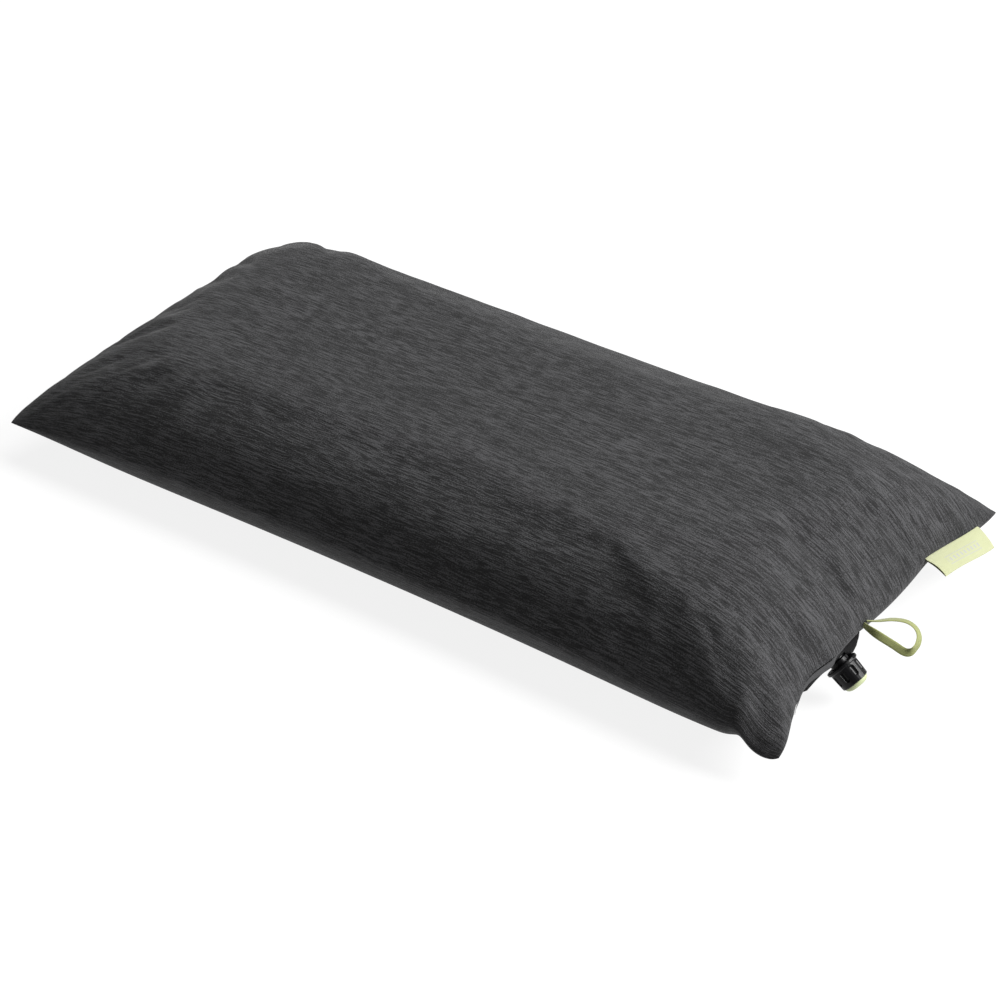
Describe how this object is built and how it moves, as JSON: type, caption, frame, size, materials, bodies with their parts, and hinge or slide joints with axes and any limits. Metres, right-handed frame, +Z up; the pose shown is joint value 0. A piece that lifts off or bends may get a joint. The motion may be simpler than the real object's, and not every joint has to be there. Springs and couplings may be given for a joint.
{
  "type": "inflatable camp pillow",
  "caption": "Long rectangular camp pillow in a stretch knit cover, with a twist valve, a pull loop and a side tag at one short end.",
  "frame": {"origin": "on the surface it rests on, under the middle of the pillow", "axes": "+X along the pillow to its valve end, +Z up, -Y towards the long side that the valve is nearer to"},
  "size_m": [0.6845, 0.322, 0.0912],
  "materials": {
    "charcoal_knit": "matte",
    "grey_binding": "matte",
    "black_coated_cloth": "satin",
    "grey_foam": "matte",
    "black_plastic": "gloss",
    "lime_rubber": "satin",
    "seal_rubber": "satin",
    "lime_tape": "matte",
    "lime_label": "matte"
  },
  "bodies": {
    "pillow": {"cover_top_panel": "charcoal_knit", "cover_bottom_panel": "charcoal_knit", "opening_binding_upper": "grey_binding", "opening_binding_lower": "grey_binding", "opening_tack_near": "grey_binding", "opening_tack_far": "grey_binding", "foam_pad": "grey_foam", "bladder_upper_sheet": "black_coated_cloth", "bladder_lower_sheet": "black_coated_cloth", "baffle_near": "black_coated_cloth", "baffle_middle": "black_coated_cloth", "baffle_far": "black_coated_cloth", "valve_body": "black_plastic", "valve_core": "black_plastic", "core_seal": "seal_rubber"},
    "cap_seal_ring": {"cap_seal": "seal_rubber"},
    "cap": {"valve_cap": "black_plastic", "mouth_ring": "lime_rubber"},
    "loop": {"pull_loop": "lime_tape"},
    "tag": {"side_tag": "lime_label"}
  },
  "joints": [
    {"name": "cap_lift", "type": "slide", "parent": "pillow", "child": "cap_seal_ring", "axis": [0.788, 0, -0.6157], "range_m": [0, 0.003]},
    {"name": "cap_twist", "type": "hinge", "parent": "cap_seal_ring", "child": "cap", "pos_m": [0.3173, -0.054, 0.03045], "axis": [0.788, 0, -0.6157], "range_deg": [0, 270]},
    {"name": "loop_bend", "type": "hinge", "parent": "pillow", "child": "loop", "pos_m": [0.31932, -0.016, 0.03549], "axis": [0, -1, 0], "range_deg": [-8, 25], "stiffness_Nm_per_rad": 0.002},
    {"name": "tag_bend", "type": "hinge", "parent": "pillow", "child": "tag", "pos_m": [0.32431, 0.09989, 0.03627], "axis": [-0.092, -0.9939, 0.0603], "range_deg": [-25, 35], "stiffness_Nm_per_rad": 0.002}
  ],
  "couplings": [
    {"joint": "cap_twist", "follows": "cap_lift", "rad_per_m": 1570}
  ]
}
